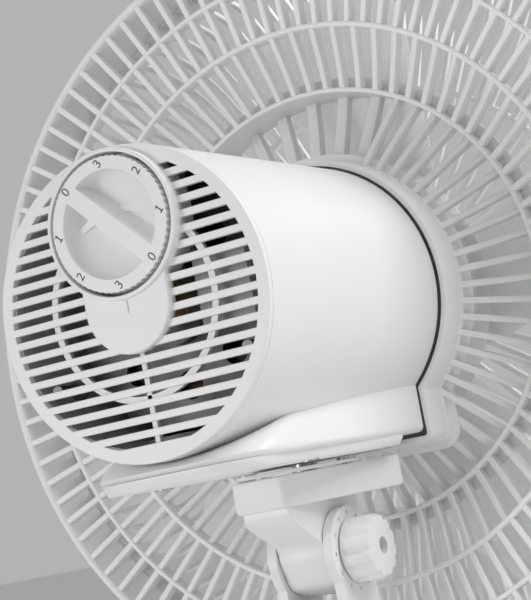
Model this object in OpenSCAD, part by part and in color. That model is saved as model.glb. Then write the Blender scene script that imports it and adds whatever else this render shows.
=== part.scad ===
// Oscillating desk fan with a rotary speed dial on the back of the motor housing.
// +Z is up, the air blows towards +Y, and the origin lies under the middle of the fan on the table.

/* [Motor housing] */
// Height of the motor axis above the table
axis_h = 290; // [280:1:310]
// Outer diameter of the housing at its rear face
housing_d = 105; // [102:0.5:108]
// Outer diameter of the housing at its front end
housing_front_d = 108; // [107:0.5:110]
// Length of the housing from the vent cover to the guard
housing_l = 127; // [122:1:130]
// Wall thickness of the housing
housing_wall = 2.2; // [1.6:0.1:2.6]
// Distance of the rear vent face behind the middle of the fan
face_back = 106; // [104:0.5:108]

/* [Rear vent and dial] */
// Spacing of the vent slots
slot_pitch = 4.76; // [4.5:0.02:5]
// Height of a vent slot
slot_h = 2.31; // [2:0.05:2.6]
// Diameter of the speed dial
dial_d = 45.4; // [44:0.2:47]
// Height of the dial's centre above the motor axis
dial_up = 26.7; // [26:0.1:27.2]
// How far the dial stands out of the vent face
dial_proud = 4; // [3:0.1:5]

/* [Guards and blade] */
// Ribs between the collar and the step ring
inner_ribs = 60; // [48:1:66]
// Ribs between the step ring and the middle ring
middle_ribs = 75; // [60:1:80]
// Ribs between the middle ring and the rim
outer_ribs = 100; // [80:1:110]
// Outer diameter of the guard rim
guard_d = 311; // [308:1:314]
// Ribs of the front guard at the rim; every second one runs on to the badge
front_ribs = 100; // [60:2:100]
// Diameter swept by the blade tips
blade_d = 274; // [260:1:274]
// Number of blade wings
wings = 5; // [3:1:5]
// Pitch angle of the wings
wing_pitch = 18; // [14:1:18]

/* [Neck and base] */
// Distance of the swing axis in front of the vent face
swing_from_face = 96; // [94:1:98]
// Depth of the tilt pivot below the motor axis
tilt_down = 95; // [94:1:97]
// Outer diameter of the base
base_d = 216; // [205:1:218]
// Height of the base cover
base_h = 54; // [50:1:58]
// Outer diameter of the column
column_d = 32; // [30:1:33]

/* [Hidden] */
$fn = 96;
slim_fn = 48;
far = 400;

face_y = -face_back;
swing_y = face_y + swing_from_face;
tilt_z = axis_h - tilt_down;
housing_r = housing_d / 2;
housing_front_r = housing_front_d / 2;
cavity_r = housing_r - housing_wall;

// Block under the housing and the plate that closes it, measured from the motor axis
block_half = 36.8;
block_bottom = -57;
plate_t = 3.5;
plate_bottom = block_bottom - plate_t;
plate_front = 112;
plate_rear = 1;

// Vent cover
vent_t = 2.4;
slot_field_r = 48.2;
first_slot_z = -44.96;
slot_rows = 20;
vent_ring_r = 32.8;
vent_rib_w = 2.3;
tongue_r = 16.5;
tongue_proud = 2;
boss_in_r = 24.3;
boss_out_r = 25.2;
boss_proud = 3.4;
boss_depth = 8;
boss_floor = 1.8;
spindle_r = 3;
skirt_r = cavity_r - 0.5;
skirt_l = 7;

// Running clearance of a shaft in its bore
run = 0.05;

// Motor, measured from the vent face
shaft_r = 4;
bush_r = 8;
rotor_r = 22.1;
stator_in_r = 22.7;
stator_r = 40;
core_start = 44;
core_end = 74;
shell_t = 2;
rear_shield_y = 28;
front_shield_y = 98;
screw_ring_r = 44.5;
nozzle_r = 17;
nozzle_in_r = 13;
nozzle_end = 153;
shaft_start = 22;
shaft_end = 205;

// Guards, measured from the vent face
guard_y = housing_l + 0.6;
collar_r = 59.5;
collar_in_r = housing_front_r + 0.9;
collar_end = 146;
keyhole_half = 41.5;
keyhole_bottom = -61.6;
step_r = 88.5;
step_back = 147;
step_front = 163;
middle_r = 113.3;
middle_back = 135;
ring2_r = 134.5;
ring2_back = 131.5;
guard_r = guard_d / 2;
rim_back = 128;
rim_front = 158;
ring_t = 2;
rib_t = 2;
rib_depth = 5.5;
front_r = guard_r - 0.2;
front_end = 2 * face_back + dial_proud;
badge_r = 38;
front_rib_t = 2.2;

// Blade, measured from the vent face
wing_mid = 180.5;
hub_r = 32;
hub_back = 169;
hub_front = 197;
wing_t = 2.2;
wing_tip_w = 78;
wing_root_w = 36;
wing_start = 12;

// Neck and oscillation gear, measured from the motor axis and the vent face
tray_top = -63.6;
tray_bottom = -75;
tray_rear = 58;
tray_front = 118;
tray_rear_half = 10;
tray_front_half = 30;
tray_wall = 2.2;
tray_floor = 3;
stem_half = 9.6;
knuckle_r = 15;
ear_r = 16.5;
ear_in = 10;
ear_out = 13.6;
tilt_bolt_r = 3;
swing_pin_r = 5;
swing_pin_top = -44;
swing_boss_h = 12.5;
gear_y = 36;
crank_r = 11.3;
crank_disc_r = 15;
crank_turn = -6.2;
crank_bottom = -60.9;
link_top = -62;
link_bottom = -63.2;
link_half = 4;
anchor_x = 18;
anchor_r = 2;
crank_pin_r = 2.4;

// Base
base_r = base_d / 2;
foot_h = 4;
bottom_t = 3;
bottom_z = foot_h;
cover_t = 2.5;
column_r = column_d / 2;
column_foot_z = bottom_z + bottom_t;
base_screw_ring_r = 78;
foot_ring_r = 88;
rocker_y = 70;
rocker_z = 34;
rocker_half = 8.6;

// ---- helpers ----

// Places children in the head's frame: motor axis at z = 0, vent face at y = 0
module in_head() {
    translate([0, face_y, axis_h]) children();
}

// Turns a profile of [radius, y] points about the motor axis
module turned(points, fn = $fn) {
    rotate([-90, 0, 0]) rotate_extrude($fn = fn) polygon(points);
}

// A ring about the motor axis
module ring_y(r_in, r_out, y0, y1, fn = $fn) {
    turned([[r_in, y0], [r_out, y0], [r_out, y1], [r_in, y1]], fn);
}

// A solid cylinder along y
module rod_y(r, y0, y1, fn = $fn) {
    translate([0, y0, 0]) rotate([-90, 0, 0]) cylinder(r = r, h = y1 - y0, $fn = fn);
}

// A flat outline drawn in x and z, given a thickness from y0 to y1
module slab_y(y0, y1) {
    translate([0, y1, 0]) rotate([90, 0, 0]) linear_extrude(y1 - y0) children();
}

// A solid cylinder along x
module rod_x(r, x0, x1, fn = $fn) {
    translate([x0, 0, 0]) rotate([0, 90, 0]) cylinder(r = r, h = x1 - x0, $fn = fn);
}

// Repeats children about the motor axis
module around_y(count, start = 0) {
    for (i = [0 : count - 1]) rotate([0, start + i * 360 / count, 0]) children();
}

// Repeats children about a vertical axis
module around_z(count, start = 0) {
    for (i = [0 : count - 1]) rotate([0, 0, start + i * 360 / count]) children();
}

// One guard rib: a thin upright plate whose edge follows [radius, y] points
module rib(points, thick) {
    translate([-thick / 2, 0, 0]) rotate([90, 0, 90])
        linear_extrude(thick) polygon([for (p = points) [p[1], p[0]]]);
}

// Housing outline below the cylinder, drawn in x and z
module block_outline(half, bottom, corner) {
    hull_y = -20;
    polygon(concat(
        [[-half, hull_y]],
        [for (a = [0 : 15 : 90]) [-half + corner - corner * cos(a), bottom + corner - corner * sin(a)]],
        [for (a = [0 : 15 : 90]) [half - corner + corner * sin(a), bottom + corner - corner * cos(a)]],
        [[half, hull_y]]
    ));
}

// ---- base ----

module base_cover() {
    color("white") difference() {
        rotate_extrude() polygon([
            [0, 0 + bottom_z], [base_r, bottom_z], [base_r, 15], [base_r - 3, 20], [base_r - 12, 25],
            [70, 34], [44, 41], [30, 46], [24, base_h], [0, base_h],
        ]);
        rotate_extrude() polygon([
            [0, bottom_z - 1], [base_r - cover_t, bottom_z - 1], [base_r - cover_t, 14],
            [base_r - 5, 17.5], [base_r - 13, 22.3], [69, 31.4], [42, 38.4], [28, 43.5],
            [21.5, base_h - cover_t], [0, base_h - cover_t],
        ]);
        translate([0, swing_y, 0]) cylinder(r = column_r + 0.3, h = far);
        translate([-rocker_half - 0.7, rocker_y - 6.3, 10]) cube([2 * rocker_half + 1.4, 12.6, 40]);
        translate([0, 0, 14]) rod_y(5, -base_r - 1, -base_r + 10, slim_fn);
    }
}

module base_bottom() {
    color("white") difference() {
        translate([0, 0, bottom_z]) cylinder(r = base_r - cover_t - 0.2, h = bottom_t);
        around_z(4, 0) translate([base_screw_ring_r, 0, 0]) cylinder(r = 2.1, h = 20, $fn = slim_fn);
    }
}

// Cast ballast ring that keeps the fan upright
module base_weight() {
    color("dimgray") translate([0, 0, bottom_z + bottom_t]) difference() {
        cylinder(r = 92, h = 9);
        translate([0, 0, -1]) cylinder(r = 50, h = 20);
        around_z(4, 0) translate([base_screw_ring_r, 0, -1]) cylinder(r = 6, h = 20, $fn = slim_fn);
    }
}

module base_feet() {
    color("gray") around_z(4, 45) translate([foot_ring_r, 0, 0])
        rotate_extrude($fn = slim_fn) polygon([[0, 0], [8, 0], [9.5, 1.5], [9.5, foot_h], [0, foot_h]]);
}

module base_screws() {
    color("silver") around_z(4, 0) translate([base_screw_ring_r, 0, bottom_z - 2]) union() {
        cylinder(r = 3.6, h = 2, $fn = slim_fn);
        cylinder(r = 2, h = 16, $fn = slim_fn);
    }
}

// Sleeve where the mains cord enters the base
module cord_grommet() {
    color("gainsboro") translate([0, 0, 14]) difference() {
        union() {
            rod_y(6.6, -base_r - 1.8, -base_r - 0.05, slim_fn);
            rod_y(4.9, -base_r - 0.5, -base_r + 7, slim_fn);
        }
        rod_y(3.3, -base_r - 3, -base_r + 9, slim_fn);
    }
}

module column() {
    color("white") translate([0, swing_y, 0]) difference() {
        union() {
            difference() {
                union() {
                    translate([0, 0, column_foot_z]) cylinder(r = column_r + 5, h = 4);
                    translate([0, 0, column_foot_z]) cylinder(r = column_r, h = tilt_z - 26 - column_foot_z);
                    translate([0, 0, tilt_z - 26]) cylinder(r1 = column_r, r2 = ear_r - 1, h = 4);
                }
                translate([0, 0, column_foot_z - 1]) cylinder(r = column_r - 3, h = tilt_z - 30 - column_foot_z);
            }
            for (side = [-1, 1]) ear(side);
        }
        translate([0, 0, tilt_z]) rod_x(tilt_bolt_r + run, -far / 10, far / 10, slim_fn);
        translate([-ear_in, -ear_r - 2, tilt_z - knuckle_r - 1.5]) cube([2 * ear_in, 2 * ear_r + 4, far]);
    }
}

// One cheek of the tilt fork, a round ear on a web, with a ring of small dimples outside
module ear(side) {
    x0 = side > 0 ? ear_in : -ear_out;
    dimples = 12;
    difference() {
        union() {
            translate([0, 0, tilt_z]) rod_x(ear_r, x0, x0 + ear_out - ear_in);
            translate([x0, -ear_r + 3.5, tilt_z - 24]) cube([ear_out - ear_in, 2 * ear_r - 7, 24]);
        }
        for (i = [0 : dimples - 1]) translate([side * ear_out, 0, tilt_z])
            rotate([i * 360 / dimples, 0, 0]) translate([0, 0, ear_r - 2.6])
                rod_x(0.9, -0.6, 0.6, 24);
    }
}

module tilt_bolt() {
    color("silver") translate([0, swing_y, tilt_z]) union() {
        rod_x(tilt_bolt_r, -ear_out, 22, slim_fn);
        rod_x(5.5, -ear_out - 3.5, -ear_out, 6);
    }
}

// Knob that clamps the tilt
module tilt_knob() {
    lobes = 12;
    color("white") translate([0, swing_y, tilt_z]) difference() {
        rod_x(12, ear_out + 0.4, ear_out + 12.4);
        translate([ear_out, 0, 0]) rod_x(tilt_bolt_r + run, -1, 10, slim_fn);
        for (i = [0 : lobes - 1]) rotate([i * 360 / lobes, 0, 0]) translate([0, 0, 13.4])
            rod_x(2.2, ear_out + 2.4, ear_out + 14, 24);
    }
}

// Rocker that switches the oscillation motor
module osc_rocker() {
    color("whitesmoke") translate([0, rocker_y, rocker_z]) union() {
        translate([-rocker_half, 0, 0]) rotate([90, 0, 90])
            linear_extrude(2 * rocker_half) polygon([[-5.6, -4], [5.6, -4], [5.6, 3.4], [0, 2.2], [-5.6, 4.4]]);
        rod_x(1.2, -rocker_half - 0.5, rocker_half + 0.5, 24);
    }
}

// ---- neck ----

module tray_outline(inset) {
    polygon([
        [-tray_rear_half + inset, tray_rear + inset], [tray_rear_half - inset, tray_rear + inset],
        [tray_front_half - inset, tray_front - inset], [-tray_front_half + inset, tray_front - inset],
    ]);
}

// Open tray under the head, its stem and the tilt knuckle, one moulding
module neck() {
    color("white") in_head() difference() {
        union() {
            difference() {
                translate([0, 0, tray_bottom]) linear_extrude(tray_top - tray_bottom) tray_outline(0);
                translate([0, 0, tray_bottom + tray_floor]) linear_extrude(far) tray_outline(tray_wall);
            }
            translate([0, swing_from_face, tray_bottom]) cylinder(r = 9, h = tray_top - tray_bottom - 0.4);
            translate([anchor_x, swing_from_face, tray_bottom])
                cylinder(r = 3.4, h = link_bottom - 0.4 - tray_bottom, $fn = slim_fn);
            translate([-stem_half, 0, 0]) rotate([90, 0, 90]) linear_extrude(2 * stem_half) polygon([
                [tray_rear + 3, tray_bottom + 1], [115, tray_bottom + 1], [115, tray_bottom - 4],
                [swing_from_face + knuckle_r, -tilt_down + 4], [swing_from_face + knuckle_r - 1, -tilt_down],
                [swing_from_face - knuckle_r + 1, -tilt_down], [swing_from_face - knuckle_r, -tilt_down + 4],
                [tray_rear + 3, tray_bottom - 4],
            ]);
            translate([0, swing_from_face, -tilt_down]) rod_x(knuckle_r, -stem_half, stem_half);
        }
        translate([0, swing_from_face, -tilt_down]) rod_x(tilt_bolt_r + run, -far / 10, far / 10, slim_fn);
        translate([0, swing_from_face, tray_bottom - 2]) cylinder(r = swing_pin_r, h = far);
        translate([anchor_x, swing_from_face, tray_bottom + 2]) cylinder(r = anchor_r, h = far, $fn = slim_fn);
    }
}

// Steel pin that the head swings on
module swing_pin() {
    color("silver") in_head() translate([0, swing_from_face, 0]) difference() {
        translate([0, 0, tray_bottom - 2]) cylinder(r = swing_pin_r, h = swing_pin_top - tray_bottom + 2);
        translate([0, 0, swing_pin_top - 2.4]) difference() {
            cylinder(r = swing_pin_r + 1, h = 1.2);
            translate([0, 0, -1]) cylinder(r = swing_pin_r - 1, h = 4);
        }
    }
}

module swing_clip() {
    color("dimgray") in_head() translate([0, swing_from_face, swing_pin_top - 2.3]) difference() {
        cylinder(r = 8, h = 1);
        translate([0, 0, -1]) cylinder(r = swing_pin_r - 0.9, h = 4);
        translate([-2, 0, -1]) cube([4, 10, 4]);
    }
}

// Shouldered screw that the link turns on
module link_anchor() {
    color("silver") in_head() translate([anchor_x, swing_from_face, 0]) union() {
        translate([0, 0, tray_bottom + 2]) cylinder(r = anchor_r, h = link_top - tray_bottom - 2, $fn = slim_fn);
        translate([0, 0, link_top + 0.1]) cylinder(r = 3.6, h = 0.9, $fn = slim_fn);
        translate([0, 0, link_top - 0.2]) cylinder(r = anchor_r, h = 0.4, $fn = slim_fn);
    }
}

// ---- oscillation gear ----

module osc_motor() {
    color("gainsboro") in_head() translate([0, gear_y, 0]) difference() {
        union() {
            translate([0, 0, block_bottom + 0.2]) cylinder(r = 24, h = 12.6);
            translate([-33, -4, block_bottom + 0.2]) cube([66, 8, 1.2]);
        }
        translate([0, 0, block_bottom - 1]) cylinder(r = 3 + run, h = 12, $fn = slim_fn);
    }
}

// Crank disc with its stub shaft and a short crank pin
module crank() {
    pin = [crank_r * cos(crank_turn), crank_r * sin(crank_turn)];
    color("whitesmoke") in_head() translate([0, gear_y, 0]) union() {
        translate([0, 0, crank_bottom]) cylinder(r = crank_disc_r, h = 2.3);
        translate([0, 0, crank_bottom]) cylinder(r = 3, h = 12, $fn = slim_fn);
        translate([pin[0], pin[1], link_top + 0.4]) cylinder(r = crank_pin_r, h = 1.5, $fn = slim_fn);
    }
}

// Flat link between the crank pin and the anchor on the neck
module link() {
    from = [anchor_x, swing_from_face];
    to = [crank_r * cos(crank_turn), gear_y + crank_r * sin(crank_turn)];
    len = norm(to - from);
    turn = atan2(to[1] - from[1], to[0] - from[0]);
    color("white") in_head() translate([from[0], from[1], link_bottom]) rotate([0, 0, turn]) difference() {
        union() {
            cylinder(r = link_half, h = link_top - link_bottom, $fn = slim_fn);
            translate([len, 0, 0]) cylinder(r = link_half, h = link_top - link_bottom, $fn = slim_fn);
            translate([0, -link_half + 0.8, 0]) cube([len, 2 * link_half - 1.6, link_top - link_bottom]);
        }
        translate([0, 0, -1]) cylinder(r = anchor_r + run, h = 4, $fn = slim_fn);
        translate([len, 0, -1]) cylinder(r = crank_pin_r + 0.2, h = 4, $fn = slim_fn);
    }
}

// ---- head ----

// Cylindrical shell with the square block moulded under it
module housing() {
    color("white") in_head() difference() {
        union() {
            turned([[0, vent_t + 0.1], [housing_r, vent_t + 0.1], [housing_front_r, housing_l], [0, housing_l]]);
            slab_y(vent_t + 6, housing_l) block_outline(block_half, block_bottom, 4);
        }
        turned([[0, vent_t], [cavity_r, vent_t], [housing_front_r - housing_wall, housing_l + 1],
            [0, housing_l + 1]]);
        slab_y(vent_t + 6 + housing_wall, housing_l - housing_wall)
            block_outline(block_half - housing_wall, block_bottom - 8, 0.5);
    }
}

module slot_field() {
    intersection() {
        circle(slot_field_r);
        union() for (i = [0 : slot_rows - 1])
            translate([-housing_r, first_slot_z + i * slot_pitch - slot_h / 2]) square([2 * housing_r, slot_h]);
    }
}

module tongue_outline(grow) {
    union() {
        circle(tongue_r + grow);
        translate([-tongue_r - grow, 0]) square([2 * (tongue_r + grow), dial_up]);
    }
}

// Round louvred cover with the dial's cup and the tongue under it
module rear_vent() {
    color("white") in_head() difference() {
        union() {
            slab_y(0, vent_t) difference() {
                circle(housing_r);
                difference() {
                    slot_field();
                    tongue_outline(0);
                    translate([0, dial_up]) circle(boss_out_r);
                }
            }
            slab_y(-tongue_proud, vent_t) tongue_outline(0);
            intersection() {
                translate([0, 0, dial_up]) rod_y(boss_out_r, -boss_proud, boss_depth);
                union() {
                    rod_y(skirt_r, 0, boss_depth + 1);
                    rod_y(housing_r + 2, -boss_proud - 1, vent_t);
                }
            }
            ring_y(vent_ring_r - vent_rib_w, vent_ring_r, vent_t - 0.4, vent_t + 2);
            translate([-1, vent_t - 0.4, -slot_field_r - 0.5]) cube([2, 2.4, slot_field_r]);
            ring_y(skirt_r - 2, skirt_r, vent_t - 0.4, vent_t + skirt_l);
        }
        translate([0, 0, dial_up]) rod_y(boss_in_r, -far / 10, boss_depth - boss_floor);
        translate([0, 0, dial_up]) rod_y(spindle_r + 0.6, 0, boss_depth + 2, slim_fn);
    }
}

module vent_screws() {
    color("silver") in_head() for (side = [-1, 1])
        translate([side * 38, 0, -22]) union() {
            rod_y(2, vent_t + 2.2, 16, slim_fn);
            rod_y(3.4, 16, 18.2, slim_fn);
        }
}

// Flat plate that closes the block and carries the swing bearing
module motor_base() {
    color("white") in_head() difference() {
        union() {
            translate([0, 0, plate_bottom]) linear_extrude(plate_t) polygon([
                [-block_half + 6, plate_rear], [block_half - 6, plate_rear], [block_half, plate_rear + 6],
                [block_half, plate_front], [-block_half, plate_front], [-block_half, plate_rear + 6],
            ]);
            translate([0, swing_from_face, plate_bottom]) cylinder(r = 11, h = swing_boss_h);
        }
        translate([0, swing_from_face, plate_bottom - 1]) cylinder(r = swing_pin_r + run, h = 30);
        translate([0, gear_y, plate_bottom - 1]) cylinder(r = crank_disc_r + 1.5, h = 10);
        for (x = [-30, 30], y = [46, 104])
            translate([x, y, plate_bottom - 1]) cylinder(r = 1.9, h = 10, $fn = slim_fn);
    }
}

module motor_base_screws() {
    color("silver") in_head() for (x = [-30, 30], y = [46, 104])
        translate([x, y, plate_bottom - 0.4]) union() {
            cylinder(r = 3.2, h = 0.4, $fn = slim_fn);
            cylinder(r = 1.9, h = plate_t + 8, $fn = slim_fn);
        }
}

// Dial with two scooped finger recesses either side of a straight grip bar
module dial() {
    scoop_r = 18;
    bar_half = 3.2;
    depth = 6;
    color("white") in_head() translate([0, 0, dial_up]) difference() {
        rod_y(dial_d / 2, -dial_proud, boss_depth - boss_floor - 0.5);
        for (turn = [45, 225]) rotate([0, turn, 0]) intersection() {
            rod_y(scoop_r, -dial_proud - 1, -dial_proud + depth);
            translate([-scoop_r, -dial_proud - 2, bar_half]) cube([2 * scoop_r, depth + 2, scoop_r]);
        }
        rod_y(spindle_r, -dial_proud + depth + 1, far / 10, slim_fn);
    }
}

module dial_spindle() {
    color("gainsboro") in_head() translate([0, 0, dial_up])
        rod_y(spindle_r, -dial_proud + 7, 20, slim_fn);
}

module speed_switch() {
    color("gainsboro") in_head() translate([0, 0, dial_up]) difference() {
        union() {
            translate([-16, boss_depth + 2.5, -14]) cube([32, 13, 30]);
            rod_y(5, boss_depth + 0.3, boss_depth + 3, slim_fn);
        }
        rod_y(spindle_r + run, 0, 21, slim_fn);
        for (side = [-1, 1]) translate([side * 24, boss_depth, 22]) rod_y(8, 0, 20, slim_fn);
    }
}

module switch_nut() {
    color("silver") in_head() translate([0, 0, dial_up]) difference() {
        rod_y(8, boss_depth + 0.4, boss_depth + 2.3, 6);
        rod_y(5, 0, 20, slim_fn);
    }
}

module capacitor() {
    color("gainsboro") in_head() translate([22, 7, -12]) cube([20, 17, 22]);
}

// ---- motor ----

module rear_shield() {
    color("silver") in_head() difference() {
        union() {
            turned([
                [bush_r, rear_shield_y - 4], [14, rear_shield_y - 4], [14, rear_shield_y],
                [stator_r + shell_t, rear_shield_y], [stator_r + shell_t, core_start + 12],
                [stator_r, core_start + 12], [stator_r, rear_shield_y + shell_t], [bush_r, rear_shield_y + shell_t],
            ]);
            around_y(4, 45) translate([0, 0, screw_ring_r]) rod_y(4, core_start - 2, core_start + 6, slim_fn);
        }
        around_y(4, 45) translate([0, 0, screw_ring_r]) rod_y(2.1, 0, far / 2, slim_fn);
        around_y(4, 45) translate([0, 0, screw_ring_r]) rod_y(3.9, rear_shield_y + 3, core_start - 2, slim_fn);
        around_y(8, 0) translate([0, 0, 28]) rod_y(5, rear_shield_y - 2, rear_shield_y + 4, slim_fn);
        rod_y(stator_r, core_start, core_end);
    }
}

// Front end shield with the disc and the threaded nozzle that carry the guard
module front_shield() {
    color("silver") in_head() difference() {
        union() {
            turned([
                [bush_r, front_shield_y - shell_t], [stator_r, front_shield_y - shell_t],
                [stator_r, core_end - 12], [stator_r + shell_t, core_end - 12],
                [stator_r + shell_t, front_shield_y], [nozzle_r, front_shield_y], [nozzle_r, 121],
                [50, 121], [50, 123.5], [nozzle_r, 123.5], [nozzle_r, nozzle_end],
                [nozzle_in_r, nozzle_end], [nozzle_in_r, front_shield_y + 8], [bush_r, front_shield_y + 8],
            ]);
            around_y(4, 45) translate([0, 0, screw_ring_r]) rod_y(4, core_end - 6, core_end + 2, slim_fn);
        }
        around_y(4, 45) translate([0, 0, screw_ring_r]) rod_y(2.1, 0, core_end + 4, slim_fn);
        rod_y(stator_r, core_start, core_end);
    }
}

module shield_screws() {
    color("dimgray") in_head() around_y(4, 45) translate([0, 0, screw_ring_r]) union() {
        rod_y(2, core_start - 6, core_end + 6, slim_fn);
        rod_y(3.6, core_start - 5, core_start - 2, slim_fn);
    }
}

// Laminated core with the winding slots open to the bore
module stator_core() {
    slots = 16;
    color("gray") in_head() slab_y(core_start, core_end) difference() {
        circle(stator_r);
        circle(stator_in_r);
        for (i = [0 : slots - 1]) rotate(i * 360 / slots) translate([stator_in_r - 2, -2]) square([12, 4]);
    }
}

module stator_coils() {
    color("peru") in_head() for (span = [[core_start - 12, core_start], [core_end, core_end + 14]])
        turned([
            [26, span[0] + 1], [28, span[0]], [35, span[0]], [37, span[0] + 1],
            [37, span[1] - 1], [35, span[1]], [28, span[1]], [26, span[1] - 1],
        ]);
}

module rear_bushing() {
    color("goldenrod") in_head() ring_y(shaft_r + 0.04, bush_r, rear_shield_y - 4, rear_shield_y + shell_t, slim_fn);
}

module front_bushing() {
    color("goldenrod") in_head() ring_y(shaft_r + 0.04, bush_r, front_shield_y - shell_t, front_shield_y + 8, slim_fn);
}

module shaft() {
    color("silver") in_head() difference() {
        rod_y(shaft_r, shaft_start, shaft_end, slim_fn);
        translate([0, hub_back + 3, 0]) rod_x(1.2, -10, 10, 24);
    }
}

module rotor_core() {
    color("gray") in_head() ring_y(shaft_r, rotor_r, core_start + 1, core_end - 1);
}

// ---- blade ----

// Hub cup with the pitched wings
module blade() {
    color("whitesmoke") in_head() difference() {
        union() {
            difference() {
                turned([[0, hub_back], [hub_r, hub_back], [hub_r, hub_front - 4], [hub_r - 4, hub_front], [0, hub_front]]);
                turned([[9, hub_back - 1], [hub_r - 2.4, hub_back - 1], [hub_r - 2.4, hub_front - 5],
                    [hub_r - 5, hub_front - 2.4], [9, hub_front - 2.4]]);
            }
            intersection() {
                ring_y(hub_r - 1.4, blade_d / 2, wing_mid - 30, wing_mid + 30);
                around_y(wings, wing_start) translate([0, wing_mid, 0]) rotate([0, 0, wing_pitch])
                    slab_y(-wing_t / 2, wing_t / 2) polygon([
                        [-wing_root_w / 2, 0], [wing_root_w / 2, 0], [wing_tip_w / 2 - 4, 90],
                        [wing_tip_w / 2, 112], [wing_tip_w / 2 - 12, 136], [-wing_tip_w / 2 + 20, 139],
                        [-wing_tip_w / 2, 118], [-wing_tip_w / 2 + 4, 90],
                    ]);
            }
        }
        rod_y(shaft_r, hub_back - 5, hub_front + 5, slim_fn);
        translate([0, hub_back + 3, 0]) rod_x(1.2, -8, 8, 24);
    }
}

module blade_pin() {
    color("silver") in_head() translate([0, hub_back + 3, 0]) rod_x(1.2, -7.8, 7.8, 24);
}

module spinner() {
    color("whitesmoke") in_head() difference() {
        turned([[0, hub_front + 0.1], [13, hub_front + 0.1], [13, hub_front + 6], [10, hub_front + 10],
            [0, hub_front + 11]]);
        rod_y(shaft_r, 0, shaft_end, slim_fn);
    }
}

// ---- guards ----

// Keyhole outline that follows the housing and its block
module keyhole(grow) {
    union() {
        circle(collar_in_r + grow);
        translate([-keyhole_half + 4 - grow, keyhole_bottom + 3 - grow])
            square([2 * (keyhole_half - 4 + grow), 50]);
    }
}

module rear_guard() {
    color("white") in_head() difference() {
        union() {
            slab_y(guard_y + 3, collar_end) keyhole(collar_r - collar_in_r);
            slab_y(guard_y, guard_y + 3) keyhole(2.2);
            ring_y(step_r - ring_t, step_r, step_back, step_front);
            ring_y(middle_r - ring_t, middle_r, middle_back, middle_back + 7);
            ring_y(ring2_r - ring_t, ring2_r, ring2_back, ring2_back + 7);
            turned([
                [guard_r - 4, rim_back + 2], [guard_r - 3, rim_back], [guard_r - 1.5, rim_back],
                [guard_r, rim_back + 2], [guard_r, rim_front], [guard_r - 2.4, rim_front], [guard_r - 2.4, rim_back + 8],
            ]);
            around_y(inner_ribs, 3) rib([
                [collar_r - 2, 140], [step_r - 1, 155], [step_r - 1, 161], [collar_r - 2, collar_end],
            ], rib_t);
            around_y(middle_ribs, 0) rib([
                [step_r - 1, step_back + 1], [middle_r - 1, middle_back + 1],
                [middle_r - 1, middle_back + 1 + rib_depth], [step_r - 1, step_back + 1 + rib_depth],
            ], rib_t);
            around_y(outer_ribs, 0) rib([
                [middle_r - 1, middle_back + 1], [ring2_r, ring2_back + 1], [guard_r - 3, rim_back + 1],
                [guard_r - 3, rim_back + 1 + rib_depth], [ring2_r, ring2_back + 1 + rib_depth],
                [middle_r - 1, middle_back + 1 + rib_depth],
            ], rib_t);
        }
        slab_y(guard_y - 1, collar_end - 5) keyhole(0);
        rod_y(nozzle_r + 0.1, 0, far / 2);
    }
}

module guard_nut() {
    grips = 12;
    color("white") in_head() difference() {
        rod_y(27, collar_end, collar_end + 7);
        rod_y(nozzle_r, 0, far / 2);
        around_y(grips) translate([0, 0, 28.5]) rod_y(3, collar_end + 1, collar_end + 9, 24);
    }
}

module front_guard() {
    side = [[front_r - 1, 166], [front_r - 3, 180], [front_r - 10, 194], [front_r - 22, 203], [94.5, 208.5]];
    face = [[95, 208.4], [66, 211], [badge_r - 2, 213]];
    side_in = [[front_r - 4, 166], [front_r - 6, 176.5], [front_r - 13, 190.5], [front_r - 25, 199.5], [94.5, 205]];
    face_in = [[95, 204.9], [66, 207.5], [badge_r - 2, 209.5]];
    color("white") in_head() union() {
        turned([[front_r - 2.6, rim_front + 0.1], [front_r, rim_front + 0.1], [front_r, 168],
            [front_r - 2.6, 168]]);
        ring_y(93.8, 96, 204, 209.6);
        ring_y(badge_r - 4, badge_r, 209, 214);
        around_y(front_ribs, 0) rib(concat(side, [for (i = [4 : -1 : 0]) side_in[i]]), front_rib_t);
        around_y(front_ribs / 2, 0) rib(concat(face, [for (i = [2 : -1 : 0]) face_in[i]]), front_rib_t);
    }
}

// Blank round badge in the middle of the front guard
module front_badge() {
    color("whitesmoke") in_head() turned([
        [0, 209.5], [badge_r - 4.1, 209.5], [badge_r - 4.1, 214.1], [badge_r, 214.1],
        [badge_r - 1, front_end - 1], [badge_r - 8, front_end], [0, front_end],
    ]);
}

// Clips that hold the two guards together at the rim
module guard_clips() {
    color("white") in_head() around_y(4, 45) translate([-7, rim_front - 7, guard_r + 0.1]) cube([14, 16, 2]);
}

base_cover();
base_bottom();
base_weight();
base_feet();
base_screws();
cord_grommet();
column();
tilt_bolt();
tilt_knob();
osc_rocker();
neck();
swing_pin();
swing_clip();
link_anchor();
housing();
rear_vent();
vent_screws();
motor_base();
motor_base_screws();
rear_shield();
front_shield();
shield_screws();
stator_core();
stator_coils();
rear_bushing();
front_bushing();
speed_switch();
switch_nut();
capacitor();
osc_motor();
dial();
dial_spindle();
crank();
link();
rear_guard();
guard_nut();
front_guard();
front_badge();
guard_clips();
shaft();
rotor_core();
blade();
blade_pin();
spinner();
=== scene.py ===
import math

import bpy
from mathutils import Matrix, Vector

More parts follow.
